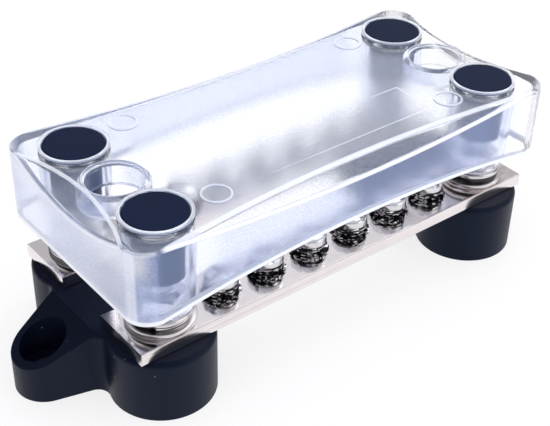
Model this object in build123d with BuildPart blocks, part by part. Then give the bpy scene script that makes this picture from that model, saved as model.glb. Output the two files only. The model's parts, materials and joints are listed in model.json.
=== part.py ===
from build123d import *
import math
import os

# Dual bus bar power distribution block: two plated bars on two moulded pedestals,
# a stud at each end of each bar, a row of terminal screws along each bar, and a
# frosted cover whose four black caps push down over the studs.
# Millimetres. Origin on the mounting surface, midway between the pedestals.
# X runs along the bars, Y across them (front is -Y), Z up.

OVERRUN = 1.0                 # how far a cutting tool runs past the face it leaves
hexagon_half_angle = 30.0     # degrees from a hexagon's corner to the middle of its flat

# Bus bars
terminals_per_bar = 6
terminal_pitch = 12.7
stud_to_terminal = 15.85      # from a stud to the nearest terminal screw
bar_end_margin = 10.1         # from a stud to the bar's end
bar_spacing = 32.3            # between the centre lines of the two bars
bar_width = 16.2
bar_thickness = 3.2
bar_edge_fillet = 0.25
terminal_clearance = 0.1

# Pedestals
boss_height = 15.8
boss_edge_fillet = 1.2
boss_margin = 2.1             # how far a boss stands out past the bar's end
recess_wall = 1.85            # moulding left round the ear's sunk recess
ear_reach = 8.0               # from the web's end to the mounting screw
ear_drop = 3.8                # fall of the ear's sloping face from the web to the screw
ear_flare = 14.7              # degrees that each side of the ear leans outward
ear_edge_fillet = 0.3
plan_blend = 3.0              # inside radius where ear, web and bosses meet
web_reach = 10.0              # how far the web runs inward past the studs
moulding_wall = 2.4
mounting_hole_radius = 2.65
recess_radius = 5.35          # of the sunk seat for the mounting screw's head
recess_floor = 4.2
web_ribs = 2
web_rib_thickness = 1.8

# Stud bolts
stud_radius = 3.0
stud_past_nut = 10.3
stud_tip_chamfer = 0.6
bolt_head_across_flats = 10.0
bolt_head_height = 4.0
bolt_head_clearance = 0.15
bolt_head_sunk = 1.0          # the head stays this far above the mounting surface
stud_hole_clearance = 0.2

# Washers and nuts on the studs, from the bar upward
flat_washer_radius = 7.9
flat_washer_thickness = 1.2
spring_washer_radius = 7.0
spring_washer_thickness = 1.5
spring_washer_bore_clearance = 0.5
washer_bore_clearance = 0.2
washer_split_width = 0.9
washer_split_angle = 20.0
nut_flange_radius = 7.3
nut_flange_thickness = 1.2
nut_across_flats = 10.0
nut_height = 6.0
nut_bore_clearance = 0.05
nut_corner_chamfer = 0.7

# Terminal screws, from the bar upward
screw_radius = 2.0
screw_head_radius = 4.1
screw_head_height = 2.9
screw_head_crown = 1.1
screw_length_below_bar = 1.6
slot_width = 1.1
slot_depth = 1.5
cross_length = 4.6
toothed_washer_radius = 4.6
toothed_washer_root = 3.7
toothed_washer_thickness = 0.7
tooth_count = 14
tooth_share = 0.55            # tooth width as a share of the pitch at the root
lock_washer_radius = 3.7
lock_washer_thickness = 1.1
plain_washer_radius = 4.2
plain_washer_thickness = 0.8
screw_washer_clearance = 0.15

# Cover
cover_over_stud = 8.0         # from the stud's tip up to the cover's flat top
cover_depth = 18.0
cover_end_margin = 12.0       # from a stud to the cover's end
cover_side_margin = 11.45     # from a stud to the cover's long side
cover_corner_radius = 5.6
cover_corner_fillet = 0.6     # round the top of each corner
cover_edge_fillet = 0.5       # along both edges of each hollow
cover_wall = 1.8
arch_height = 4.2             # rise of the bottom edge at mid-length, for the wires
side_scoop_depth = 2.5        # the hollowed top edges, long sides
side_scoop_tilt = 36.4        # degrees of the hollow's face from the vertical
end_scoop_depth = 3.3         # the hollowed top edges, short ends
end_scoop_tilt = 45.0
tower_bore_clearance = 0.38   # round the nut's corners
tower_foot_wall = 1.05
tower_foot_gap = 0.3
tower_rim_wall = 0.74
tower_stand = 0.7             # how far the towers' rims stand above the flat top
window_end_margin = 12.3      # from the cover's end to the window's centre
window_radius = 6.4
window_step = 0.55
window_step_depth = 0.5
window_collar_wall = 0.95
window_collar_depth = 6.0
pip_from_stud = 13.8          # along the bar, toward its middle
pip_past_stud = 1.85          # across the bar, outward
pip_radius = 3.5
pip_width = 0.5
pip_height = 0.35

# Caps, seated in the towers and gripping the studs
cap_shank_gap = 0.75          # round the shank in the tower's bore
cap_shank_draft = 0.15
cap_head_step = 1.66          # how far the cap's head is wider than its shank
cap_clearance = 0.2
cap_head_height = 2.6
cap_cone_height = 2.6
cap_grip = 6.0                # length of stud inside the cap
cap_edge_fillet = 0.35
cap_seat_gap = 0.1
cap_bore_clearance = 0.08
cap_bore_headroom = 1.2       # room over the stud's tip
cap_mouth_chamfer = 0.7

# Places along and across that follow
stud_x = (terminals_per_bar - 1) * terminal_pitch / 2 + stud_to_terminal
stud_y = bar_spacing / 2
stud_spacing = 2 * stud_x
bar_length = 2 * (stud_x + bar_end_margin)
boss_radius = bar_end_margin + boss_margin
end_wall_x = stud_x + boss_radius
ear_x = end_wall_x + ear_reach
ear_tip_radius = recess_radius + recess_wall
ear_root_half_width = (ear_tip_radius / math.cos(math.radians(ear_flare))
                       + ear_reach * math.tan(math.radians(ear_flare)))
cover_length = stud_spacing + 2 * cover_end_margin
cover_width = bar_spacing + 2 * cover_side_margin
nut_corner_radius = nut_across_flats / 2 / math.cos(math.radians(hexagon_half_angle))
tower_bore_radius = nut_corner_radius + tower_bore_clearance
tower_foot_radius = tower_bore_radius + tower_foot_wall
cap_shank_radius = tower_bore_radius - cap_shank_gap
cap_radius = cap_shank_radius + cap_head_step
socket_radius = cap_radius + cap_clearance
tower_rim_radius = socket_radius + tower_rim_wall
corners = {
    "front_left": (-stud_x, -stud_y),
    "front_right": (stud_x, -stud_y),
    "rear_left": (-stud_x, stud_y),
    "rear_right": (stud_x, stud_y),
}

# Heights that follow
bolt_head_top = bolt_head_sunk + bolt_head_height
bar_top = boss_height + bar_thickness
flat_washer_top = bar_top + flat_washer_thickness
spring_washer_top = flat_washer_top + spring_washer_thickness
flange_top = spring_washer_top + nut_flange_thickness
nut_top = spring_washer_top + nut_height
stud_top = nut_top + stud_past_nut
toothed_top = bar_top + toothed_washer_thickness
lock_top = toothed_top + lock_washer_thickness
head_seat = lock_top + plain_washer_thickness
tower_foot = flange_top + tower_foot_gap
cover_top = stud_top + cover_over_stud
cover_bottom = cover_top - cover_depth
tower_rim_height = cover_top + tower_stand
cap_bottom = stud_top - cap_grip
cap_head_under = tower_rim_height - cap_head_height
cap_cone_foot = cap_head_under - cap_cone_height
cap_cone_pitch = cap_cone_height / cap_head_step


def keep(part, label):
    """Labels a finished piece and writes it as parts/label.step."""
    part.label = label
    export_step(part, f"parts/{label}.step")


os.makedirs("parts", exist_ok=True)


# Left pedestal: one black moulding. Two round bosses with flat tops carry the bar ends, a
# web joins them, and an ear with a sunk screw hole slopes up to the web from outside.
with BuildPart() as left_pedestal:
    with BuildSketch():
        with Locations((-stud_x, -stud_y), (-stud_x, stud_y)):
            Circle(boss_radius)
        with Locations((-end_wall_x, 0)):
            Rectangle(boss_radius + web_reach, 2 * ear_root_half_width, align=(Align.MIN, Align.CENTER))
        with Locations((-ear_x, 0)):
            Circle(ear_tip_radius)
        with BuildLine():
            flare = math.radians(ear_flare)
            tangent_x = -ear_x - ear_tip_radius * math.sin(flare)
            tangent_y = ear_tip_radius * math.cos(flare)
            Polyline(
                (-end_wall_x, -ear_root_half_width),
                (tangent_x, -tangent_y),
                (tangent_x, tangent_y),
                (-end_wall_x, ear_root_half_width),
                close=True,
            )
        make_face()
        offset(amount=plan_blend)
        offset(amount=-plan_blend)
    extrude(amount=boss_height)
    rims = left_pedestal.faces().sort_by(Axis.Z)[-1].edges()
    fillet(rims, boss_edge_fillet)

    # The sloping face of the ear, from the web's end down to the tip
    with BuildSketch(Plane.XZ):
        with BuildLine():
            Polyline(
                (-end_wall_x, boss_height),
                (-end_wall_x - 2 * ear_reach, boss_height - 2 * ear_drop),
                (-end_wall_x - 2 * ear_reach, boss_height),
                close=True,
            )
        make_face()
    extrude(amount=ear_root_half_width + plan_blend, both=True, mode=Mode.SUBTRACT)

    sloping = left_pedestal.faces().filter_by(
        lambda face: face.geom_type == GeomType.PLANE and 0 < -face.normal_at().X < face.normal_at().Z
    )
    fillet(sloping.edges().sort_by(Axis.X)[:-1], ear_edge_fillet)

    # Stud holes with hexagonal pockets below, and the ear's sunk screw hole
    with BuildSketch():
        with Locations((-stud_x, -stud_y), (-stud_x, stud_y)):
            Circle(stud_radius + stud_hole_clearance)
        with Locations((-ear_x, 0)):
            Circle(mounting_hole_radius)
    extrude(amount=boss_height + OVERRUN, mode=Mode.SUBTRACT)
    with BuildSketch():
        with Locations((-stud_x, -stud_y), (-stud_x, stud_y)):
            RegularPolygon(bolt_head_across_flats / 2 + bolt_head_clearance, 6, major_radius=False)
    extrude(amount=bolt_head_top, mode=Mode.SUBTRACT)
    with BuildSketch(Plane.XY.offset(recess_floor)):
        with Locations((-ear_x, 0)):
            Circle(recess_radius)
    extrude(amount=boss_height, mode=Mode.SUBTRACT)

    # Cored underside: a ring round each bolt pocket, and pockets between the web's ribs
    pocket_length = boss_radius + web_reach - 2 * moulding_wall
    rib_pitch = (pocket_length + web_rib_thickness) / (web_ribs + 1)
    with BuildSketch():
        with Locations((-stud_x, -stud_y), (-stud_x, stud_y)):
            Circle(boss_radius - moulding_wall)
            Circle(bolt_head_across_flats / 2 + moulding_wall, mode=Mode.SUBTRACT)
        with Locations((pocket_length / 2 + moulding_wall - end_wall_x, 0)):
            Rectangle(pocket_length, bar_spacing - 2 * boss_radius)
            with GridLocations(rib_pitch, 0, web_ribs, 1):
                Rectangle(web_rib_thickness, bar_spacing - 2 * boss_radius, mode=Mode.SUBTRACT)
    extrude(amount=boss_height - moulding_wall, mode=Mode.SUBTRACT)
keep(left_pedestal.part, "left_pedestal")

with BuildPart() as right_pedestal:
    mirror(left_pedestal.part, about=Plane.YZ)
keep(right_pedestal.part, "right_pedestal")

# Bus bars: sheared and drilled flat bar, plated all over, with tapped terminal holes.
with BuildPart() as front_busbar:
    with BuildSketch(Plane.XY.offset(boss_height)):
        with Locations((0, -stud_y)):
            Rectangle(bar_length, bar_width)
            with GridLocations(stud_spacing, 0, 2, 1):
                Circle(stud_radius + stud_hole_clearance, mode=Mode.SUBTRACT)
            with GridLocations(terminal_pitch, 0, terminals_per_bar, 1):
                Circle(screw_radius + terminal_clearance, mode=Mode.SUBTRACT)
    extrude(amount=bar_thickness)
    fillet(front_busbar.edges().filter_by(Axis.X), bar_edge_fillet)
keep(front_busbar.part, "front_busbar")

with BuildPart() as rear_busbar:
    mirror(front_busbar.part, about=Plane.XZ)
keep(rear_busbar.part, "rear_busbar")

# Stud bolts: hexagon bolts put in from below, whose threads stand up as the studs.
with BuildPart() as stud_bolts:
    with BuildSketch(Plane.XY.offset(bolt_head_sunk)):
        with GridLocations(stud_spacing, bar_spacing, 2, 2):
            RegularPolygon(bolt_head_across_flats / 2, 6, major_radius=False)
    extrude(amount=bolt_head_height)
    with BuildSketch(Plane.XY.offset(bolt_head_top)):
        with GridLocations(stud_spacing, bar_spacing, 2, 2):
            Circle(stud_radius)
    extrude(amount=stud_top - bolt_head_top)
    chamfer(stud_bolts.edges().group_by(Axis.Z)[-1], stud_tip_chamfer)
keep(stud_bolts.part, "stud_bolts")

# Flat washers: the wide plain washers that lie on the bars.
with BuildPart() as stud_flat_washers:
    with BuildSketch(Plane.XY.offset(bar_top)):
        with GridLocations(stud_spacing, bar_spacing, 2, 2):
            Circle(flat_washer_radius)
            Circle(stud_radius + washer_bore_clearance, mode=Mode.SUBTRACT)
    extrude(amount=flat_washer_thickness)
keep(stud_flat_washers.part, "stud_flat_washers")

# Spring washers: split rings, each drawn closed under its nut.
with BuildPart() as stud_spring_washers:
    with BuildSketch(Plane.XY.offset(flat_washer_top)):
        with GridLocations(stud_spacing, bar_spacing, 2, 2):
            Circle(spring_washer_radius)
            Circle(stud_radius + spring_washer_bore_clearance, mode=Mode.SUBTRACT)
            Rectangle(
                spring_washer_radius + OVERRUN,
                washer_split_width,
                rotation=washer_split_angle,
                align=(Align.MIN, Align.CENTER),
                mode=Mode.SUBTRACT,
            )
    extrude(amount=spring_washer_thickness)
keep(stud_spring_washers.part, "stud_spring_washers")

# Flange nuts: a hexagon with bevelled corners on a round flange.
with BuildPart() as flange_nut:
    with BuildSketch():
        RegularPolygon(nut_across_flats / 2, 6, major_radius=False)
    extrude(amount=nut_height)
    with BuildSketch(Plane.XZ):
        with BuildLine():
            Polyline(
                (0, 0),
                (nut_corner_radius, 0),
                (nut_corner_radius, nut_height - nut_corner_chamfer),
                (nut_corner_radius - 2 * nut_corner_chamfer, nut_height),
                (0, nut_height),
                close=True,
            )
        make_face()
    revolve(axis=Axis.Z, mode=Mode.INTERSECT)
    Cylinder(nut_flange_radius, nut_flange_thickness, align=(Align.CENTER, Align.CENTER, Align.MIN))
    Hole(stud_radius + nut_bore_clearance)

with BuildPart() as flange_nuts:
    with Locations((0, 0, spring_washer_top)):
        with GridLocations(stud_spacing, bar_spacing, 2, 2):
            add(flange_nut.part)
keep(flange_nuts.part, "flange_nuts")

# Terminal screw: pan head with a slot across a cross recess, seat at z = 0.
with BuildPart() as terminal_screw:
    with BuildSketch(Plane.XZ):
        crown_edge = screw_head_height - screw_head_crown
        shank_foot = boss_height - screw_length_below_bar - head_seat
        with BuildLine():
            Polyline(
                (0, screw_head_height),
                (0, shank_foot),
                (screw_radius, shank_foot),
                (screw_radius, 0),
                (screw_head_radius, 0),
                (screw_head_radius, crown_edge),
            )
            TangentArc((0, screw_head_height), (screw_head_radius, crown_edge), tangent=(1, 0))
        make_face()
    revolve(axis=Axis.Z)
    with BuildSketch(Plane.XY.offset(screw_head_height)):
        Rectangle(2 * screw_head_radius + OVERRUN, slot_width, rotation=washer_split_angle)
        Rectangle(slot_width, cross_length, rotation=washer_split_angle)
    extrude(amount=-slot_depth, mode=Mode.SUBTRACT)

# Toothed washer: a ring of flat teeth that bites into the bar, foot at z = 0.
with BuildPart() as toothed_washer:
    with BuildSketch():
        Circle(toothed_washer_root)
        tooth_width = 2 * math.pi * toothed_washer_root / tooth_count * tooth_share
        with PolarLocations(0, tooth_count):
            Rectangle(toothed_washer_radius, tooth_width, align=(Align.MIN, Align.CENTER))
        Circle(screw_radius + screw_washer_clearance, mode=Mode.SUBTRACT)
    extrude(amount=toothed_washer_thickness)

# Lock washer: a split ring, foot at z = 0.
with BuildPart() as lock_washer:
    with BuildSketch():
        Circle(lock_washer_radius)
        Circle(screw_radius + screw_washer_clearance, mode=Mode.SUBTRACT)
        Rectangle(
            lock_washer_radius + OVERRUN,
            washer_split_width,
            rotation=-washer_split_angle,
            align=(Align.MIN, Align.CENTER),
            mode=Mode.SUBTRACT,
        )
    extrude(amount=lock_washer_thickness)

# Plain washer under the screw's head, foot at z = 0.
with BuildPart() as plain_washer:
    with BuildSketch():
        Circle(plain_washer_radius)
        Circle(screw_radius + screw_washer_clearance, mode=Mode.SUBTRACT)
    extrude(amount=plain_washer_thickness)

# The same four pieces stand at every terminal of both bars.
for side, row_y in (("front", -stud_y), ("rear", stud_y)):
    for name, piece, foot in (
        ("toothed_washers", toothed_washer, bar_top),
        ("lock_washers", lock_washer, toothed_top),
        ("plain_washers", plain_washer, lock_top),
        ("terminal_screws", terminal_screw, head_seat),
    ):
        with BuildPart() as row:
            with Locations((0, row_y, foot)):
                with GridLocations(terminal_pitch, 0, terminals_per_bar, 1):
                    add(piece.part)
        keep(row.part, f"{side}_{name}")


def hood(inset):
    """The cover's form drawn in by inset: a rounded block with four hollowed top edges."""
    foot = cover_bottom if inset == 0 else cover_bottom - OVERRUN
    with BuildPart() as form:
        with BuildSketch(Plane.XY.offset(foot)):
            RectangleRounded(cover_length - 2 * inset, cover_width - 2 * inset, cover_corner_radius - inset)
        extrude(amount=cover_top - inset - foot)
        fillet(form.edges().group_by(Axis.Z)[-1], cover_corner_fillet)
        side_span = cover_length - 2 * cover_corner_radius
        end_span = cover_width - 2 * cover_corner_radius
        for turn, reach, tilt_degrees, span, depth in (
            (0, cover_width / 2, side_scoop_tilt, side_span, side_scoop_depth),
            (180, cover_width / 2, side_scoop_tilt, side_span, side_scoop_depth),
            (90, cover_length / 2, end_scoop_tilt, end_span, end_scoop_depth),
            (270, cover_length / 2, end_scoop_tilt, end_span, end_scoop_depth),
        ):
            tilt = math.radians(tilt_degrees)
            inward = Vector(0, math.sin(tilt), -math.cos(tilt))
            along = Vector(0, math.cos(tilt), math.sin(tilt))
            edge = Vector(0, -reach, cover_top) + inward * inset
            scoop_plane = Plane(
                edge.rotate(Axis.Z, turn),
                x_dir=Axis.X.direction.rotate(Axis.Z, turn),
                z_dir=along.rotate(Axis.Z, turn),
            )
            with BuildSketch(scoop_plane):
                with BuildLine():
                    ThreePointArc((-span / 2, 0), (0, depth), (span / 2, 0))
                    Polyline((span / 2, 0), (span / 2, -reach), (-span / 2, -reach), (-span / 2, 0))
                make_face()
            extrude(amount=reach, both=True, mode=Mode.SUBTRACT)
        hollows = form.faces().filter_by(GeomType.CYLINDER).sort_by(SortBy.RADIUS)[-4:]
        fillet(hollows.edges().filter_by(GeomType.ELLIPSE), cover_edge_fillet)
    return form.part


def seat_height(radius):
    """Height at which the tower's conical seat for a cap has this radius."""
    return cap_head_under + (radius - cap_radius) * cap_cone_pitch - cap_seat_gap


# Cover: a thin frosted moulding. Its long top edges and ends are hollowed, its long
# bottom edges arch over the wires, and four tapered towers reach down to the nuts.
cover_outside = hood(0)
cover_inside = hood(cover_wall)
foot_up = (Align.CENTER, Align.CENTER, Align.MIN)
top_down = (Align.CENTER, Align.CENTER, Align.MAX)

window_spacing = cover_length - 2 * window_end_margin

with BuildPart() as cover:
    add(cover_outside)
    add(cover_inside, mode=Mode.SUBTRACT)
    with BuildSketch(Plane.XZ):
        with BuildLine():
            arch_end = cover_length / 2 - cover_corner_radius
            arch_crown = (0, cover_bottom + arch_height)
            ThreePointArc((-arch_end, cover_bottom), arch_crown, (arch_end, cover_bottom))
            Line((arch_end, cover_bottom), (-arch_end, cover_bottom))
        make_face()
    extrude(amount=cover_width, both=True, mode=Mode.SUBTRACT)
    with Locations((0, 0, tower_foot)):
        with GridLocations(stud_spacing, bar_spacing, 2, 2):
            Cone(tower_foot_radius, tower_rim_radius, tower_rim_height - tower_foot, align=foot_up)
    with Locations((0, 0, cover_top)):
        with GridLocations(window_spacing, 0, 2, 1):
            Cylinder(window_radius + window_step + window_collar_wall, window_collar_depth, align=top_down)
    with BuildSketch(Plane.XY.offset(cover_top)):
        with GridLocations(stud_spacing - 2 * pip_from_stud, bar_spacing + 2 * pip_past_stud, 2, 2):
            Circle(pip_radius)
            Circle(pip_radius - pip_width, mode=Mode.SUBTRACT)
    extrude(amount=pip_height)

    # Sockets and bores of the towers
    with GridLocations(stud_spacing, bar_spacing, 2, 2):
        with Locations((0, 0, seat_height(socket_radius))):
            Cylinder(socket_radius, cover_top, align=foot_up, mode=Mode.SUBTRACT)
        with Locations((0, 0, seat_height(tower_bore_radius))):
            Cone(
                tower_bore_radius,
                socket_radius,
                seat_height(socket_radius) - seat_height(tower_bore_radius),
                align=foot_up,
                mode=Mode.SUBTRACT,
            )
        with Locations((0, 0, tower_foot - OVERRUN)):
            Cylinder(
                tower_bore_radius,
                seat_height(tower_bore_radius) - tower_foot + OVERRUN,
                align=foot_up,
                mode=Mode.SUBTRACT,
            )

    # The stepped round windows
    with GridLocations(window_spacing, 0, 2, 1):
        with Locations((0, 0, cover_top + OVERRUN)):
            Cylinder(window_radius, window_collar_depth + 2 * OVERRUN, align=top_down, mode=Mode.SUBTRACT)
            Cylinder(
                window_radius + window_step,
                window_step_depth + OVERRUN,
                align=top_down,
                mode=Mode.SUBTRACT,
            )
keep(cover.part, "cover")

# Caps: black plugs, flush with the towers' rims, whose blind bores grip the studs.
for corner, (cap_x, cap_y) in corners.items():
    with BuildPart() as cap:
        with BuildSketch(Plane((cap_x, cap_y, 0), x_dir=(1, 0, 0), z_dir=(0, -1, 0))):
            with BuildLine():
                Polyline(
                    (0, tower_rim_height),
                    (cap_radius, tower_rim_height),
                    (cap_radius, cap_head_under),
                    (cap_shank_radius, cap_cone_foot),
                    (cap_shank_radius - cap_shank_draft, cap_bottom),
                    (0, cap_bottom),
                    close=True,
                )
            make_face()
        revolve(axis=Axis((cap_x, cap_y, 0), (0, 0, 1)))
        fillet(cap.edges().group_by(Axis.Z)[-1], cap_edge_fillet)
        with Locations((cap_x, cap_y, cap_bottom)):
            Cylinder(
                stud_radius + cap_bore_clearance,
                stud_top + cap_bore_headroom - cap_bottom,
                align=foot_up,
                mode=Mode.SUBTRACT,
            )
        mouth = cap.edges().group_by(Axis.Z)[0].sort_by(SortBy.RADIUS)[0]
        chamfer(mouth, cap_mouth_chamfer)
    keep(cap.part, f"cap_{corner}")
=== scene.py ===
import json
import math

import bmesh
import bpy
from mathutils import Matrix, Vector

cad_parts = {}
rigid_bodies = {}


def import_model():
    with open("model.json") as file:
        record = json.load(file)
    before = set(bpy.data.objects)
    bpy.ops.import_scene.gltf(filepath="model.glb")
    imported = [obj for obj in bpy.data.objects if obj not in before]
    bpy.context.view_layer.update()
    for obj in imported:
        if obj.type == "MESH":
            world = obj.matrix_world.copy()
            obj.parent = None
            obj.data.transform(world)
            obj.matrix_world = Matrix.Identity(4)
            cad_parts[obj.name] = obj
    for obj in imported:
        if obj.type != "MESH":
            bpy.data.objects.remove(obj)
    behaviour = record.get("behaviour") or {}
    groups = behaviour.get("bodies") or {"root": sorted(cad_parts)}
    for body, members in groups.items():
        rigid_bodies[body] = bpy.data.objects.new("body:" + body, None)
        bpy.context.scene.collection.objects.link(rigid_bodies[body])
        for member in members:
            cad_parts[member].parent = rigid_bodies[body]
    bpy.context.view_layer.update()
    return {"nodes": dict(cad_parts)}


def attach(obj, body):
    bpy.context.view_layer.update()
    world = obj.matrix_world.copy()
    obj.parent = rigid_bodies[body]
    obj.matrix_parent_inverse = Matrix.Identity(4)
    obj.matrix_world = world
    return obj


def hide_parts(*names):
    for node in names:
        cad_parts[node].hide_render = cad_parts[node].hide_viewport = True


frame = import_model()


# Pedestals
# Two black glass-filled nylon mouldings, satin from a spark-eroded mould, with faint
# flow marks down their sides. Handling leaves a few small pale scuffs on the skin.

mm = 0.001


class Wire:
    """The output of a shader node. A sum written with wires adds its own Math nodes."""

    def __init__(self, tree, socket=None):
        self.tree = tree
        self.socket = socket

    def node(self, kind, settings, sockets, output=0):
        """Adds any node: its settings first, then the values or wires of its sockets."""
        made = self.tree.nodes.new("ShaderNode" + kind)
        for name, value in settings.items():
            setattr(made, name, value)
        for name, value in sockets.items():
            if isinstance(value, Wire):
                self.tree.links.new(value.socket, made.inputs[name])
            else:
                made.inputs[name].default_value = value
        return Wire(self.tree, made.outputs[output] if made.outputs else None)

    def sum(self, operation, *terms):
        """A Math node on these terms, wires or numbers."""
        return self.node("Math", {"operation": operation}, dict(enumerate(terms)))

    def __add__(self, other):
        return self.sum("ADD", self, other)

    def __radd__(self, other):
        return self.sum("ADD", other, self)

    def __sub__(self, other):
        return self.sum("SUBTRACT", self, other)

    def __rsub__(self, other):
        return self.sum("SUBTRACT", other, self)

    def __mul__(self, other):
        return self.sum("MULTIPLY", self, other)

    def __rmul__(self, other):
        return self.sum("MULTIPLY", other, self)

    def __truediv__(self, other):
        return self.sum("DIVIDE", self, other)

    def __rtruediv__(self, other):
        return self.sum("DIVIDE", other, self)

    def __pow__(self, other):
        return self.sum("POWER", self, other)

    def __abs__(self):
        return self.sum("ABSOLUTE", self)

    def axes(self):
        """The three numbers of a vector."""
        return [self.node("SeparateXYZ", {}, {0: self}, output=axis) for axis in "XYZ"]

    def rise(self, low, high):
        """0 up to low, 1 from high on, and a smooth rise between them."""
        smooth = {"interpolation_type": "SMOOTHSTEP"}
        return self.node("MapRange", smooth, {0: self, 1: low, 2: high})

    def blend(self, first, second):
        """The first colour where this wire is 0, the second where it is 1."""
        return self.node("Mix", {"data_type": "RGBA"}, {0: self, 6: first, 7: second}, output=2)


def new_finish(name):
    """A material with an empty node tree, and a wire that starts its nodes."""
    material = bpy.data.materials.new(name)
    material.use_nodes = True
    material.node_tree.nodes.clear()
    return material, Wire(material.node_tree)


def stretched_noise(start, where, x, y, z, detail=2.0):
    """Noise whose grain is that many cells to the metre along each axis."""
    cells = (x, y, z)
    scaled = start.node("VectorMath", {"operation": "MULTIPLY"}, {0: where, 1: cells})
    return start.node("TexNoise", {}, {"Vector": scaled, "Scale": 1.0, "Detail": detail})


def dress(part, material):
    """Gives a piece that finish in every material slot."""
    if not part.material_slots:
        part.data.materials.append(material)
    for slot in part.material_slots:
        slot.material = material


black_moulding, start = new_finish("black_moulding")
where = start.node("TexCoord", {}, {}, output="Object")
spark_grain = stretched_noise(start, where, 3200, 3200, 3200)
flow_marks = stretched_noise(start, where, 700, 700, 22)
clouds = stretched_noise(start, where, 110, 110, 110)
scuff_cell = start.node("TexVoronoi", {}, {"Vector": where, "Scale": 420.0})
scuffs = (1 - scuff_cell.rise(0.05, 0.12)) * clouds.rise(0.60, 0.66)
skin = clouds.blend((0.0016, 0.0032, 0.0125, 1), (0.0036, 0.0062, 0.0200, 1))
skin = (scuffs * 0.5).blend(skin, (0.30, 0.31, 0.34, 1))
relief = start.node("Bump", {}, {
    "Height": spark_grain + flow_marks * 1.4,
    "Strength": 0.22,
    "Distance": 0.05 * mm,
})
satin = start.node("BsdfPrincipled", {}, {
    "Base Color": skin,
    "Roughness": 0.30 + 0.14 * flow_marks + 0.10 * clouds,
    "Specular IOR Level": 0.20,
    "Specular Tint": (0.62, 0.76, 1.0, 1),
    "Normal": relief,
})
start.node("OutputMaterial", {}, {"Surface": satin})

for side in ("left_pedestal", "right_pedestal"):
    dress(frame["nodes"][side], black_moulding)


# Stud bolts
# Four bright stainless hexagon bolts, put in from below before the bars are laid on.
# Their rolled M6 threads stand up through bosses, bars, washers and nuts.

stud_x, stud_y = 47.6 * mm, 16.15 * mm
stud_places = [
    (-stud_x, -stud_y, 229), (stud_x, -stud_y, 47),
    (-stud_x, stud_y, 33), (stud_x, stud_y, 5),
]
stud_radius, thread_root, thread_pitch = 3.0 * mm, 2.42 * mm, 1.0 * mm
head_foot, head_top, stud_tip = 1.0 * mm, 5.0 * mm, 38.0 * mm
head_flats, head_bevel, tip_chamfer = 10.0 * mm, 4.75 * mm, 0.6 * mm


def turned(outline, sides=72, sweep=360.0, climb=0.0):
    """A closed outline of (radius, height) points turned about Z. A sweep of less than a
    full turn leaves a gap with flat ends, and climb lifts the far end."""
    whole = sweep == 360.0
    rows = sides if whole else sides + 1
    points, faces = [], []
    for row in range(rows):
        share = row / sides
        angle = math.radians(sweep * share)
        points += [
            (radius * math.cos(angle), radius * math.sin(angle), height + climb * share)
            for radius, height in outline
        ]
    count = len(outline)
    for row in range(sides):
        first, second = row * count, (row + 1) % rows * count
        for i in range(count):
            j = (i + 1) % count
            faces.append((first + i, second + i, second + j, first + j))
    if not whole:
        faces += [tuple(range(count)), tuple(reversed(range(len(points) - count, len(points))))]
    return points, faces


def hexagon(across_flats, foot, top, bevel_radius, sides=96):
    """A hexagon prism whose top corners are turned off by a cone from bevel_radius."""
    points, faces = [], []
    for step in range(sides):
        angle = 2 * math.pi * step / sides
        off_flat = (angle + math.pi / 6) % (math.pi / 3) - math.pi / 6
        reach = across_flats / 2 / math.cos(off_flat)
        shoulder = top - max(0, reach - bevel_radius) * math.tan(math.radians(30))
        lid = min(reach, bevel_radius)
        outline = ((0, foot), (reach, foot), (reach, shoulder), (lid, top), (0, top))
        for radius, height in outline:
            points.append((radius * math.cos(angle), radius * math.sin(angle), height))
    for step in range(sides):
        first, second = step * 5, (step + 1) % sides * 5
        for i in range(4):
            faces.append((first + i, second + i, second + i + 1, first + i + 1))
    return points, faces


def thread(crest, root, pitch, foot, tip, chamfer, sides=36):
    """A rolled screw thread: one helical strip of flats and flanks, turned down at its tip."""
    profile = ((root, 0.0), (root, 0.12), (crest, 0.44), (crest, 0.56), (root, 0.88))
    turns = math.ceil((tip - foot) / pitch) + 1
    points, faces = [], []
    for turn in range(-1, turns):
        for radius, share in profile:
            for step in range(sides):
                height = foot + pitch * (turn + share + step / sides)
                height = min(max(height, foot), tip)
                reach = min(radius, crest, crest - chamfer + (tip - height))
                angle = 2 * math.pi * step / sides
                points.append((reach * math.cos(angle), reach * math.sin(angle), height))
    rows = len(points) // sides
    for row in range(rows - 1):
        for step in range(sides):
            here = row * sides + step
            onward = here + 1 if step + 1 < sides else (row + len(profile)) * sides
            if onward + sides < len(points):
                faces.append((here, onward, onward + sides, here + sides))
    last = len(points) - sides
    faces.append(tuple(range(last, len(points))))
    return points, faces


def stamp(name, places, shells, crease=38):
    """One object of the same shells at each place (x, y, turn in degrees), smooth but for
    edges sharper than the crease angle."""
    form = bmesh.new()
    for x, y, turn in places:
        spin = Matrix.Translation((x, y, 0)) @ Matrix.Rotation(math.radians(turn), 4, "Z")
        for points, faces in shells:
            made = [form.verts.new(spin @ Vector(point)) for point in points]
            for face in faces:
                form.faces.new([made[i] for i in face])
    bmesh.ops.remove_doubles(form, verts=form.verts, dist=0.0001 * mm)
    bmesh.ops.dissolve_degenerate(form, edges=form.edges, dist=0.0001 * mm)
    bmesh.ops.recalc_face_normals(form, faces=form.faces)
    mesh = bpy.data.meshes.new(name)
    form.to_mesh(mesh)
    form.free()
    mesh.shade_smooth()
    mesh.set_sharp_from_angle(angle=math.radians(crease))
    part = bpy.data.objects.new(name, mesh)
    bpy.context.scene.collection.objects.link(part)
    return part


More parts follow.
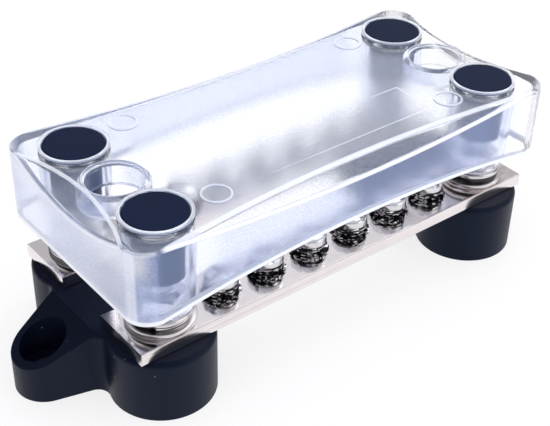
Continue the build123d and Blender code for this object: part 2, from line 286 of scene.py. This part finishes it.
bright_stainless, start = new_finish("bright_stainless")
where = start.node("TexCoord", {}, {}, output="Object")
grain = stretched_noise(start, where, 2600, 2600, 2600, 3.0)
clouds = stretched_noise(start, where, 300, 300, 300)
relief = start.node("Bump", {}, {"Height": grain, "Strength": 0.12, "Distance": 0.03 * mm})
rolled = start.node("BsdfPrincipled", {}, {
    "Base Color": clouds.blend((0.62, 0.63, 0.66, 1), (0.78, 0.78, 0.80, 1)),
    "Metallic": 1.0,
    "Roughness": 0.16 + 0.12 * clouds,
    "Normal": relief,
})
start.node("OutputMaterial", {}, {"Surface": rolled})

studs = stamp("threaded_studs", stud_places, [
    hexagon(head_flats, head_foot, head_top, head_bevel),
    thread(stud_radius, thread_root, thread_pitch, head_top, stud_tip, tip_chamfer),
], crease=50)
dress(studs, bright_stainless)
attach(studs, "base")
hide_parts("stud_bolts")


# Bus bars
# Sheared flat brass bar, drilled, tapped and nickel plated all over. The faces are mirror
# bright, the long sheared sides keep fine drawing lines, and the plating warms the grey.
# Brown painted reflections lie round the studs on the right, and the rounded edges
# carry a painted dark line of shade.


def distance_from(x, y, at_x, at_y):
    """How far a place lies from the nearest of the four upright axes at (+-at_x, +-at_y)."""
    past_x, past_y = abs(x) - at_x, abs(y) - at_y
    return (past_x * past_x + past_y * past_y) ** 0.5


bar_plating, start = new_finish("bar_plating")
where = start.node("TexCoord", {}, {}, output="Object")
facing_side, facing_up = start.node("NewGeometry", {}, {}, output="Normal").axes()[1:]
side_mask = abs(facing_side).rise(0.6, 0.9)
top_mask = facing_up.rise(0.6, 0.9)
painted_edge_shade = (abs(facing_side) * abs(facing_up) * 2.0).rise(0.25, 0.8)
drawing_lines = stretched_noise(start, where, 9, 9, 2300, 4.0)
faint_lines = stretched_noise(start, where, 30, 3000, 30)
ripple = stretched_noise(start, where, 130, 160, 130, 1.0)
clouds = stretched_noise(start, where, 240, 240, 240)
height = drawing_lines * side_mask * 1.2 + faint_lines * top_mask * 0.25 + ripple * 0.8
relief = start.node("Bump", {}, {"Height": height, "Strength": 0.30, "Distance": 0.05 * mm})
x, y = where.axes()[:2]
near_stud = 1 - distance_from(x, y, stud_x, stud_y).rise(8.2 * mm, 13.0 * mm)
# Painted reflection: ragged brown patches on the top round the right studs, where the nut stacks
# show.
brown_patches = stretched_noise(start, where, 420, 420, 420, 3.0).rise(0.40, 0.62)
painted_brown_reflection = brown_patches * near_stud * x.rise(30.0 * mm, 38.0 * mm) * top_mask
plate_tone = clouds.blend((0.80, 0.745, 0.750, 1), (0.89, 0.835, 0.840, 1))
plate_tone = (painted_brown_reflection * 0.45).blend(plate_tone, (0.58, 0.44, 0.37, 1))
# Painted shade: the rounded edges between top and sides are darkened.
plate_tone = (painted_edge_shade * 0.55).blend(plate_tone, (0.30, 0.235, 0.225, 1))
deep_lines = drawing_lines.rise(0.52, 0.66) * side_mask
plate_tone = (deep_lines * 0.22).blend(plate_tone, (0.55, 0.47, 0.48, 1))
nickel = start.node("BsdfPrincipled", {}, {
    "Base Color": plate_tone,
    "Metallic": 1.0,
    "Roughness": 0.09 + 0.05 * side_mask + 0.05 * clouds,
    "Normal": relief,
})
start.node("OutputMaterial", {}, {"Surface": nickel})

for bar in ("front_busbar", "rear_busbar"):
    dress(frame["nodes"][bar], bar_plating)


# Flat washers on the studs
# Wide stamped stainless washers with a rolled edge. Stamping leaves fine rings on both
# faces, which show as bright concentric lines round each stud.

stainless, start = new_finish("stainless")
where = start.node("TexCoord", {}, {}, output="Object")
x, y = where.axes()[:2]
rings = start.node("TexNoise", {"noise_dimensions": "1D"}, {
    "W": distance_from(x, y, stud_x, stud_y),
    "Scale": 3600.0,
    "Detail": 2.0,
})
clouds = stretched_noise(start, where, 350, 350, 350)
relief = start.node("Bump", {}, {"Height": rings, "Strength": 0.25, "Distance": 0.04 * mm})
steel = start.node("BsdfPrincipled", {}, {
    "Base Color": (clouds * 0.5 + rings * 0.5).blend((0.56, 0.53, 0.54, 1), (0.84, 0.81, 0.82, 1)),
    "Metallic": 1.0,
    "Roughness": 0.14 + 0.10 * clouds + 0.08 * rings,
    "Normal": relief,
})
start.node("OutputMaterial", {}, {"Surface": steel})


def ring_outline(bore, rim, foot, top, round_off):
    """The section of a washer, with its four corners broken by round_off."""
    corner = 0.3 * round_off
    return [
        (bore + round_off, foot), (rim - round_off, foot), (rim - corner, foot + corner),
        (rim, foot + round_off), (rim, top - round_off), (rim - corner, top - corner),
        (rim - round_off, top), (bore + round_off, top),
        (bore, top - round_off), (bore, foot + round_off),
    ]


flat_foot, flat_top = 19.0 * mm, 20.2 * mm
flat_bore, flat_rim, rolled_edge = 3.2 * mm, 7.9 * mm, 0.22 * mm
flat_washers = stamp("flat_washers", stud_places, [
    turned(ring_outline(flat_bore, flat_rim, flat_foot, flat_top, rolled_edge), sides=96),
])
dress(flat_washers, stainless)
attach(flat_washers, "base")
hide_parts("stud_flat_washers")


# Spring washers on the studs
# Square spring wire coiled one turn and cut through: closed flat under its nut, one end
# of the cut still stands a little proud of the other. One side is painted near black as shade.

spring_steel, start = new_finish("spring_steel")
where = start.node("TexCoord", {}, {}, output="Object")
coiling_lines = stretched_noise(start, where, 60, 60, 3000, 3.0)
clouds = stretched_noise(start, where, 500, 500, 900)
x, y = where.axes()[:2]
past_stud_x, past_stud_y = x - stud_x * x.sum("SIGN", x), y - stud_y * y.sum("SIGN", y)
right_stud = x.rise(-1.0 * mm, 1.0 * mm)
# Painted shade: one side of each ring, with a cloudy edge, is made near black.
dark_side = past_stud_y * (0.5 - 1.2 * right_stud) - past_stud_x * 0.85
painted_shade_side = (dark_side + (clouds - 0.5) * 3.0 * mm).rise(0.6 * mm, 1.8 * mm)
ring_tone = coiling_lines.rise(0.44, 0.56).blend((0.07, 0.06, 0.06, 1), (0.78, 0.74, 0.74, 1))
relief = start.node("Bump", {}, {
    "Height": coiling_lines,
    "Strength": 0.3,
    "Distance": 0.05 * mm,
})
brushed = start.node("BsdfPrincipled", {}, {
    "Base Color": (painted_shade_side * 0.95).blend(ring_tone, (0.020, 0.018, 0.020, 1)),
    "Metallic": 1.0,
    "Roughness": 0.07 + 0.08 * clouds,
    "Normal": relief,
})
start.node("OutputMaterial", {}, {"Surface": brushed})

spring_bore, spring_rim, spring_top = 3.5 * mm, 7.0 * mm, 21.7 * mm
spring_climb, spring_sweep = 0.22 * mm, 351.0
spring_washers = stamp("spring_washers", stud_places, [
    turned(
        ring_outline(spring_bore, spring_rim, flat_top, spring_top - spring_climb, 0.15 * mm),
        sides=90, sweep=spring_sweep, climb=spring_climb,
    ),
])
dress(spring_washers, spring_steel)
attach(spring_washers, "base")
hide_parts("stud_spring_washers")


# Flange nuts
# Stainless hexagon nuts forged in one with a round flange that slopes up to the flats.
# The top corners are turned off by a shallow cone.

nut_foot, nut_top, nut_bore = spring_top, 27.7 * mm, 3.05 * mm
nut_flats, nut_bevel = 10.0 * mm, 4.8 * mm
flange_rim, flange_top = 7.3 * mm, nut_foot + 1.7 * mm
flange_outline = [
    (nut_bore, nut_foot), (flange_rim - 0.2 * mm, nut_foot), (flange_rim, nut_foot + 0.2 * mm),
    (flange_rim, nut_foot + 0.8 * mm), (flange_rim - 0.15 * mm, nut_foot + 1.0 * mm),
    (nut_flats / 2, flange_top), (nut_bore, flange_top),
]
countersink_top = nut_top + 0.002 * mm
countersink = [
    (stud_radius, nut_top - 0.4 * mm), (stud_radius + 0.5 * mm, countersink_top),
    (stud_radius, countersink_top),
]
nuts = stamp("flange_nuts_bevelled", stud_places, [
    turned(flange_outline, sides=96),
    hexagon(nut_flats, nut_foot + 0.2 * mm, nut_top, nut_bevel),
    turned(countersink, sides=48),
], crease=25)
dress(nuts, stainless)
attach(nuts, "base")
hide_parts("flange_nuts")


# Toothed washers under the terminal screws
# Stamped spring steel rings whose outer teeth are each twisted, so that their corners
# bite into the bar and the washer above. The steel is painted near black as shade, with
# small painted glints.

terminal_pitch = 12.7 * mm
turns = (14, 71, 39, 102, 158, 88, 23, 131, 64, 5, 119, 147)
terminals = {
    row: [((i - 2.5) * terminal_pitch, y, turns[i + 6 * (row == "rear")]) for i in range(6)]
    for row, y in (("front", -stud_y), ("rear", stud_y))
}
block_faces = [
    (0, 3, 2, 1), (4, 5, 6, 7), (0, 1, 5, 4), (1, 2, 6, 5), (2, 3, 7, 6), (3, 0, 4, 7),
]


def twisted_teeth(count, root, tip, width, foot, thickness, twist):
    """A ring of flat teeth, each twisted about its own length towards its tip."""
    points, faces = [], []
    middle = foot + thickness
    for tooth in range(count):
        angle = 2 * math.pi * tooth / count
        base = len(points)
        for reach, lean in ((root, 0.3), (tip, 1.0)):
            tilt = math.radians(twist) * lean
            for side, rise in ((-1, -1), (1, -1), (1, 1), (-1, 1)):
                u = side * width / 2 * math.cos(tilt) - rise * thickness / 2 * math.sin(tilt)
                v = side * width / 2 * math.sin(tilt) + rise * thickness / 2 * math.cos(tilt)
                points.append((
                    reach * math.cos(angle) - u * math.sin(angle),
                    reach * math.sin(angle) + u * math.cos(angle),
                    middle + v,
                ))
        faces += [tuple(base + i for i in face) for face in block_faces]
    return points, faces


shade_and_glint_steel, start = new_finish("shade_and_glint_steel")
where = start.node("TexCoord", {}, {}, output="Object")
grain = stretched_noise(start, where, 620, 620, 2600, 3.0)
# Painted shade and glints: the steel is near black, with small bright specks where the grain
# rises.
painted_glints = grain.rise(0.51, 0.58)
relief = start.node("Bump", {}, {"Height": grain, "Strength": 0.6, "Distance": 0.12 * mm})
painted_shade_glints = start.node("BsdfPrincipled", {}, {
    "Base Color": painted_glints.blend((0.022, 0.022, 0.026, 1), (0.88, 0.88, 0.90, 1)),
    "Metallic": 1.0,
    "Roughness": 0.20 - 0.08 * painted_glints,
    "Normal": relief,
})
start.node("OutputMaterial", {}, {"Surface": painted_shade_glints})

ring_bore, tooth_ring_rim = 2.15 * mm, 3.75 * mm
tooth_ring_foot, tooth_ring_top = flat_foot + 0.12 * mm, flat_foot + 0.58 * mm
teeth, tooth_root, tooth_tip = 14, 3.6 * mm, 4.80 * mm
tooth_width, tooth_thickness, tooth_twist = 0.95 * mm, 0.35 * mm, 24
for row, places in terminals.items():
    toothed = stamp(f"{row}_toothed_rings", places, [
        turned(
            ring_outline(ring_bore, tooth_ring_rim, tooth_ring_foot, tooth_ring_top, 0.08 * mm),
            sides=56,
        ),
        twisted_teeth(
            teeth, tooth_root, tooth_tip, tooth_width, flat_foot, tooth_thickness, tooth_twist,
        ),
    ])
    dress(toothed, shade_and_glint_steel)
    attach(toothed, "base")
    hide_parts(f"{row}_toothed_washers")


# Lock washers and plain washers under the terminal screws
# A split ring of square steel wire lies on each toothed washer, and a stamped plain
# washer on that. All stay on the screw, and have the same painted shade and glints.

toothed_top, lock_top, seat = 19.7 * mm, 20.8 * mm, 21.6 * mm
lock_rim, plain_rim = 3.7 * mm, 4.2 * mm
lock_climb, lock_sweep = 0.15 * mm, 345.0
for row, places in terminals.items():
    split = stamp(f"{row}_split_rings", places, [
        turned(
            ring_outline(ring_bore, lock_rim, toothed_top, lock_top - lock_climb, 0.1 * mm),
            sides=52, sweep=lock_sweep, climb=lock_climb,
        ),
    ])
    dress(split, shade_and_glint_steel)
    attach(split, "base")
    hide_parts(f"{row}_lock_washers")

    plain = stamp(f"{row}_plain_rings", places, [
        turned(ring_outline(ring_bore, plain_rim, lock_top, seat, 0.14 * mm), sides=64),
    ])
    dress(plain, shade_and_glint_steel)
    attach(plain, "base")
    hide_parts(f"{row}_plain_washers")


# Terminal screws
# Pan head M4 machine screws, nickel plated, with a slot across a short cross recess.
# They come with their washers on, and screw into the tapped bar.

screw_steel, start = new_finish("screw_steel")
where = start.node("TexCoord", {}, {}, output="Object")
grain = stretched_noise(start, where, 2200, 2200, 2200, 3.0)
clouds = stretched_noise(start, where, 500, 500, 500)
relief = start.node("Bump", {}, {"Height": grain, "Strength": 0.15, "Distance": 0.04 * mm})
screw_plating = start.node("BsdfPrincipled", {}, {
    "Base Color": clouds.blend((0.60, 0.60, 0.62, 1), (0.83, 0.82, 0.84, 1)),
    "Metallic": 1.0,
    "Roughness": 0.10 + 0.14 * clouds,
    "Normal": relief,
})
start.node("OutputMaterial", {}, {"Surface": screw_plating})

head_radius, head_height, crown = 4.1 * mm, 2.9 * mm, 1.1 * mm
crown_sphere = (head_radius ** 2 + crown ** 2) / (2 * crown)
head_crown, head_shoulder = seat + head_height, seat + head_height - crown
dome = [(0, head_crown)]
for step in range(1, 9):
    out = (head_radius - 0.25 * mm) * step / 8
    dome.append((out, head_crown - crown_sphere + math.sqrt(crown_sphere ** 2 - out ** 2)))
pan = dome + [
    (head_radius - 0.06 * mm, head_shoulder - 0.1 * mm), (head_radius, head_shoulder - 0.3 * mm),
    (head_radius, seat + 0.15 * mm), (head_radius - 0.15 * mm, seat), (0, seat),
]
blank = stamp("screw_blank", [(0, 0, 0)], [turned(pan, sides=64)])


def box(width, depth, foot, top):
    """The eight corners and six faces of a block about the Z axis."""
    corners = ((-1, -1), (1, -1), (1, 1), (-1, 1))
    points = [(x * width / 2, y * depth / 2, z) for z in (foot, top) for x, y in corners]
    return points, block_faces


recess_floor, recess_width = head_crown - 1.5 * mm, 1.1 * mm
slot_length, cross_length = 10 * mm, 4.6 * mm
for width, depth in ((slot_length, recess_width), (recess_width, cross_length)):
    block = box(width, depth, recess_floor, seat + 2 * head_height)
    cutter = stamp("recess_cutter", [(0, 0, 0)], [block])
    cut = blank.modifiers.new("recess", "BOOLEAN")
    cut.operation = "DIFFERENCE"
    cut.solver = "EXACT"
    cut.object = cutter
edges = blank.modifiers.new("edges", "BEVEL")
edges.width = 0.07 * mm
edges.segments = 2
edges.limit_method = "ANGLE"
edges.angle_limit = math.radians(50)
bpy.context.view_layer.update()
worked_out = bpy.context.evaluated_depsgraph_get()
finished = bpy.data.meshes.new_from_object(blank.evaluated_get(worked_out))
head_shell = (
    [tuple(corner.co) for corner in finished.vertices],
    [tuple(face.vertices) for face in finished.polygons],
)
for spare in [blank] + [o for o in bpy.data.objects if o.name.startswith("recess_cutter")]:
    bpy.data.objects.remove(spare)

screw_end, screw_crest, screw_root, screw_pitch = 14.2 * mm, 2.0 * mm, 1.62 * mm, 0.7 * mm
for row, places in terminals.items():
    screws = stamp(f"{row}_pan_screws", places, [
        head_shell,
        thread(screw_crest, screw_root, screw_pitch, screw_end, seat, chamfer=0, sides=28),
    ], crease=32)
    dress(screws, screw_steel)
    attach(screws, "base")
    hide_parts(f"{row}_terminal_screws")


# Cover
# One thin moulding in clear polycarbonate, frosted by a fine sparked mould. Its rims and the
# rounded edges of its hollows carry painted highlights, and the walls keep upright streaks.
# It is clearest round its towers and at the right end, and milkiest on the left end wall,
# whose whiter colour there is painted light.

half_length, half_width = 59.6 * mm, 27.6 * mm
cover_top, cover_foot = 46.0 * mm, 28.0 * mm
straight_length, straight_width = 108.0 * mm, 44.0 * mm
side_hollow, end_hollow, foot_arch = 2.5 * mm, 3.3 * mm, 4.2 * mm
side_tilt, end_tilt = math.radians(36.4), math.radians(45.0)
window_x, window_rim, window_ledge = 47.3 * mm, 6.4 * mm, 6.95 * mm
pip_x, pip_y, pip_ring = 33.8 * mm, 18.0 * mm, 3.25 * mm
tower_bore, tower_line = 7.24 * mm, 7.38 * mm
faint_front_y, faint_right_x, faint_rear_y = -18.3 * mm, 28.0 * mm, -6.4 * mm


def arc_depth(run, span, depth):
    """How deep a shallow arc of that span lies at a place along its chord."""
    radius = (span ** 2 / 4 + depth ** 2) / (2 * depth)
    return (radius ** 2 - run * run) ** 0.5 - (radius - depth)


def line_along(first, second, half):
    """A band round the curve where both distances are 0: 1 inside half, fading to 0."""
    return 1 - ((first * first + second * second) ** 0.5).rise(half, half * 2)


def band(value, middle, half, edge):
    """1 where the value is within half of the middle, fading to 0 at edge."""
    return 1 - abs(value - middle).rise(half, edge)


def either(*masks):
    """The masks laid over one another: 1 where any of them is 1."""
    outside = 1 - masks[0]
    for mask in masks[1:]:
        outside = outside * (1 - mask)
    return 1 - outside


frosted, start = new_finish("frosted_plastic")
where = start.node("TexCoord", {}, {}, output="Object")
x, y, z = where.axes()
right_end = x.rise(47.0 * mm, 55.0 * mm)

# The hollows' rounded edges: for each, a painted highlight low on the wall and one on the top.
past_side, past_end, below_top = abs(y) - half_width, abs(x) - half_length, z - cover_top
side_arc = arc_depth(x, straight_length, side_hollow)
side_run = (1 - abs(x).rise(52.0 * mm, 54.5 * mm)) * (1 - 0.8 * right_end)
side_lower = line_along(past_side, below_top + side_arc / math.cos(side_tilt), 0.36 * mm)
side_upper = line_along(past_side + side_arc / math.sin(side_tilt), below_top, 0.46 * mm)
end_arc = arc_depth(y, straight_width, end_hollow)
end_run = (1 - abs(y).rise(20.0 * mm, 22.5 * mm)) * (1 - 0.6 * right_end)
end_lower = line_along(past_end, below_top + end_arc / math.cos(end_tilt), 0.29 * mm)
end_upper = line_along(past_end + end_arc / math.sin(end_tilt), below_top, 0.32 * mm)

# A painted highlight along the foot's edge. Past the ends of its arch the depth would be
# negative, and isn't used.
arch = arc_depth(x, straight_length, foot_arch)
foot_edge = cover_foot + arch * arch.rise(0.0, 0.01 * mm)
in_wall = either(abs(y).rise(25.0 * mm, 25.5 * mm), abs(x).rise(57.0 * mm, 57.5 * mm))
foot_gleam = (1 - (z - foot_edge).rise(0.8 * mm, 1.4 * mm)) * in_wall

# Painted highlights on the two steps of the round windows, and on the four small ring marks.
near_top = z.rise(44.9 * mm, 45.6 * mm)
from_window = distance_from(x, y, window_x, 0)
window_gleam = (band(from_window, window_rim, 0.10 * mm, 0.35 * mm)
                + band(from_window, window_ledge, 0.10 * mm, 0.35 * mm))
pip_gleam = band(distance_from(x, y, pip_x, pip_y), pip_ring, 0.15 * mm, 0.40 * mm)

# The towers: clear plastic round them, and a painted highlight in a painted pale rim at their
# tops.
from_stud = distance_from(x, y, stud_x, stud_y)
on_wall = from_stud.rise(8.0 * mm, 8.4 * mm)
off_tower = from_stud.rise(11.0 * mm, 14.5 * mm)
tower_gleam = band(from_stud, tower_line, 0.06 * mm, 0.18 * mm) * z.rise(46.2 * mm, 46.5 * mm)
tower_rim = from_stud.rise(tower_bore, tower_bore + 0.06 * mm) * z.rise(46.05 * mm, 46.3 * mm)

# Painted highlights on the upright corners, where two walls meet in a curve.
corner_x, corner_y = straight_length / 2, straight_width / 2
round_corner = (distance_from(x, y, corner_x, corner_y).rise(4.7 * mm, 5.3 * mm)
                * (abs(x) - corner_x).rise(0.0, 1.6 * mm)
                * (abs(y) - corner_y).rise(0.0, 1.6 * mm))

# A faint right-angled painted highlight on the top, beside the front right ring mark, where
# the rear bar's edges show through.
short_of_right = 1 - x.rise(faint_right_x - 0.2 * mm, faint_right_x + 0.2 * mm)
faint_front = (band(y, faint_front_y, 0.10 * mm, 0.30 * mm)
               * x.rise(-30.0 * mm, 5.0 * mm) * short_of_right)
faint_right = (band(x, faint_right_x, 0.10 * mm, 0.30 * mm)
               * y.rise(faint_front_y - 0.3 * mm, faint_front_y + 0.1 * mm)
               * (1 - y.rise(faint_rear_y - 0.2 * mm, faint_rear_y + 0.2 * mm)))
faint_rear = (band(y, faint_rear_y, 0.10 * mm, 0.30 * mm)
              * x.rise(14.0 * mm, 24.0 * mm) * short_of_right)
faint_line = either(faint_front, faint_right, faint_rear) * z.rise(45.8 * mm, 45.95 * mm)

# All the painted highlights, laid over one another.
gleam = either(
    side_lower * side_run,
    side_upper * side_run * 0.8,
    end_lower * end_run * 0.65,
    end_upper * end_run * 0.75,
    foot_gleam,
    window_gleam * near_top * 0.5,
    pip_gleam * near_top * 0.15,
    tower_gleam * 0.45,
    tower_rim * 0.6,
    round_corner * (0.30 + 0.20 * z.rise(45.2 * mm, 45.6 * mm)),
    faint_line * 0.6,
)

# The mould's sparked grain on every face, and upright streaks on the walls alone.
sparked = stretched_noise(start, where, 2100, 2100, 2100)
speckled = sparked.rise(0.40, 0.60)
streaks = stretched_noise(start, where, 1300, 1300, 70)
upward = abs(start.node("NewGeometry", {}, {}, output="Normal").axes()[2])
on_top = upward.rise(0.3, 0.7)
relief = start.node("Bump", {}, {
    "Height": (sparked * 0.5 + streaks * (1 - on_top) * 0.8) * (1 - gleam),
    "Strength": 0.30,
    "Distance": 0.05 * mm,
})

tint = streaks.blend((0.915, 0.935, 1.0, 1), (0.955, 0.965, 1.0, 1))
tint = either(on_top, right_end).blend(tint, (0.985, 0.990, 1.0, 1))
clear = start.node("BsdfPrincipled", {}, {
    "Base Color": tint,
    "Roughness": (0.18 + 0.09 * sparked) * (0.45 + 0.55 * off_tower),
    "IOR": 1.30,
    "Specular Tint": (0.72, 0.85, 1.0, 1),
    "Transmission Weight": 1.0,
    "Normal": relief,
})

# What looks milky: the painted highlights, a frost on all walls, and the left end wall.
# The left end wall has a milkier frost, and its whiter colour there is painted light.
end_wall = (0 - x).rise(58.4 * mm, 58.9 * mm) * (1 - upward.rise(0.3, 0.6))
edge_mist = (0 - x).rise(55.5 * mm, 58.0 * mm) * (1 - on_top) * z.rise(37.0 * mm, 43.0 * mm)
milk = on_top.blend((0.47, 0.60, 1.0, 1), (0.74, 0.81, 1.0, 1))
milk = end_wall.blend(milk, (0.84, 0.87, 1.0, 1))
milk = right_end.blend(milk, (0.93, 0.95, 1.0, 1))
milk = edge_mist.blend(milk, (0.91, 0.92, 1.0, 1))
milky = start.node("BsdfPrincipled", {}, {
    "Base Color": gleam.blend(milk, (0.97, 0.98, 1.0, 1)),
    "Roughness": 0.35,
    "Normal": relief,
})

frost = (0.10 - 0.04 * on_top + 0.10 * speckled) * on_wall * (1 - 0.7 * right_end)
frost = frost * (0.4 + 0.6 * off_tower) + 0.25 * edge_mist
haze = either(gleam * 0.93, 0.02 + frost, end_wall * (0.56 + 0.06 * speckled))
body = start.node("MixShader", {}, {0: haze, 1: clear, 2: milky})
let_through = start.node("BsdfTransparent", {}, {"Color": (0.80, 0.82, 0.86, 1)})
shadow_ray = start.node("LightPath", {}, {}, output="Is Shadow Ray")
both = start.node("MixShader", {}, {0: shadow_ray * (1 - gleam), 1: body, 2: let_through})
start.node("OutputMaterial", {}, {"Surface": both})
dress(frame["nodes"]["cover"], frosted)


# Caps
# Four black thermoplastic plugs, pressed into the cover's towers and flush with their
# rims. The flat ends keep a fine sparked grain.

cap_plastic, start = new_finish("cap_plastic")
where = start.node("TexCoord", {}, {}, output="Object")
cap_grain = stretched_noise(start, where, 1700, 1700, 1700, 3.0)
clouds = stretched_noise(start, where, 160, 160, 160)
relief = start.node("Bump", {}, {"Height": cap_grain, "Strength": 0.3, "Distance": 0.06 * mm})
rubbed = start.node("BsdfPrincipled", {}, {
    "Base Color": clouds.blend((0.0018, 0.0075, 0.0340, 1), (0.0034, 0.0110, 0.0470, 1)),
    "Roughness": 0.42 + 0.16 * clouds,
    "Specular IOR Level": 0.15,
    "Specular Tint": (0.62, 0.76, 1.0, 1),
    "Normal": relief,
})
start.node("OutputMaterial", {}, {"Surface": rubbed})
for corner in ("front_left", "front_right", "rear_left", "rear_right"):
    dress(frame["nodes"][f"cap_{corner}"], cap_plastic)


# Floor, light and camera
# A plain white floor under a pale sky, which metal mirrors as a grey room, darker on the
# left. One soft lamp hangs high on the right and a weaker one stands in front of it. The
# camera has the photograph's angle.

paper, start = new_finish("floor_paper")
ray_kinds = ("Is Camera Ray", "Is Glossy Ray", "Is Transmission Ray")
camera_ray, glossy_ray, clear_ray = (
    start.node("LightPath", {}, {}, output=kind) for kind in ray_kinds)
seen = camera_ray + glossy_ray + clear_ray
matt = start.node("BsdfDiffuse", {}, {"Color": (0.86, 0.86, 0.87, 1)})
matt_share = start.node("BsdfDiffuse", {}, {"Color": (0.25, 0.25, 0.25, 1)})
paper_white = clear_ray.blend((0.76, 0.76, 0.76, 1), (0.97, 0.97, 0.98, 1))
glow = start.node("Emission", {}, {"Color": paper_white, "Strength": 1.0})
shown = start.node("AddShader", {}, {0: matt_share, 1: glow})
both = start.node("MixShader", {}, {0: seen.rise(0.0, 1.0), 1: matt, 2: shown})
start.node("OutputMaterial", {}, {"Surface": both})
floor_mesh = bpy.data.meshes.new("floor")
half = 3.0
floor_corners = [(-half, -half, 0), (half, -half, 0), (half, half, 0), (-half, half, 0)]
floor_mesh.from_pydata(floor_corners, [], [(0, 1, 2, 3)])
floor = bpy.data.objects.new("floor", floor_mesh)
bpy.context.scene.collection.objects.link(floor)
dress(floor, paper)

world = bpy.data.worlds.new("studio")
world.use_nodes = True
world.node_tree.nodes.clear()
start = Wire(world.node_tree)
toward = start.node("TexCoord", {}, {}, output="Generated")
overhead = toward.axes()[2].rise(0.62, 0.78)
leftward = start.node("VectorMath", {"operation": "DOT_PRODUCT"}, {
    0: toward,
    1: (-0.90, 0.43, 0.0),
}, output="Value")
dark_left = leftward.rise(0.10, 0.38)
camera_ray, glossy_ray, clear_ray = (
    start.node("LightPath", {}, {}, output=kind) for kind in ray_kinds)
mirrored = 0.56 - 0.42 * dark_left - 0.15 * overhead * (1 - dark_left)
mirrored_grey = start.node("CombineColor", {}, {0: mirrored, 1: mirrored, 2: mirrored * 1.04})
plain = glossy_ray.blend((0.93, 0.94, 1.0, 1), mirrored_grey)
tone = (camera_ray + clear_ray).blend(plain, (1, 1, 1, 1))
backdrop = start.node("Background", {}, {"Color": tone, "Strength": 1.0})
start.node("OutputWorld", {}, {"Surface": backdrop})
bpy.context.scene.world = world

for name, place, width, power in (
    ("upper_softbox", (0.42, 0.10, 0.68), 0.50, 1.2),
    ("front_softbox", (0.44, -0.62, 0.27), 0.55, 0.9),
):
    lamp = bpy.data.lights.new(name, "AREA")
    lamp.size = width
    lamp.energy = power
    holder = bpy.data.objects.new(name, lamp)
    holder.location = place
    holder.rotation_euler = (-Vector(place)).to_track_quat("-Z", "Y").to_euler()
    bpy.context.scene.collection.objects.link(holder)

lens = bpy.data.cameras.new("photo_view")
lens.sensor_width = 36.0
lens.lens = 75.90
lens.clip_start = 0.01
camera = bpy.data.objects.new("photo_view", lens)
right = Vector((0.78359339, -0.6208997, 0.02156277))
up = Vector((0.340743, 0.45853103, 0.82075788))
ahead = Vector((0.51949553, 0.63579309, -0.57086912))
facing = Matrix((right, up, -ahead)).transposed()
camera.matrix_world = Matrix.Translation((-0.15004, -0.17944, 0.17978)) @ facing.to_4x4()
bpy.context.scene.collection.objects.link(camera)
bpy.context.scene.camera = camera
bpy.context.scene.view_settings.view_transform = "Standard"
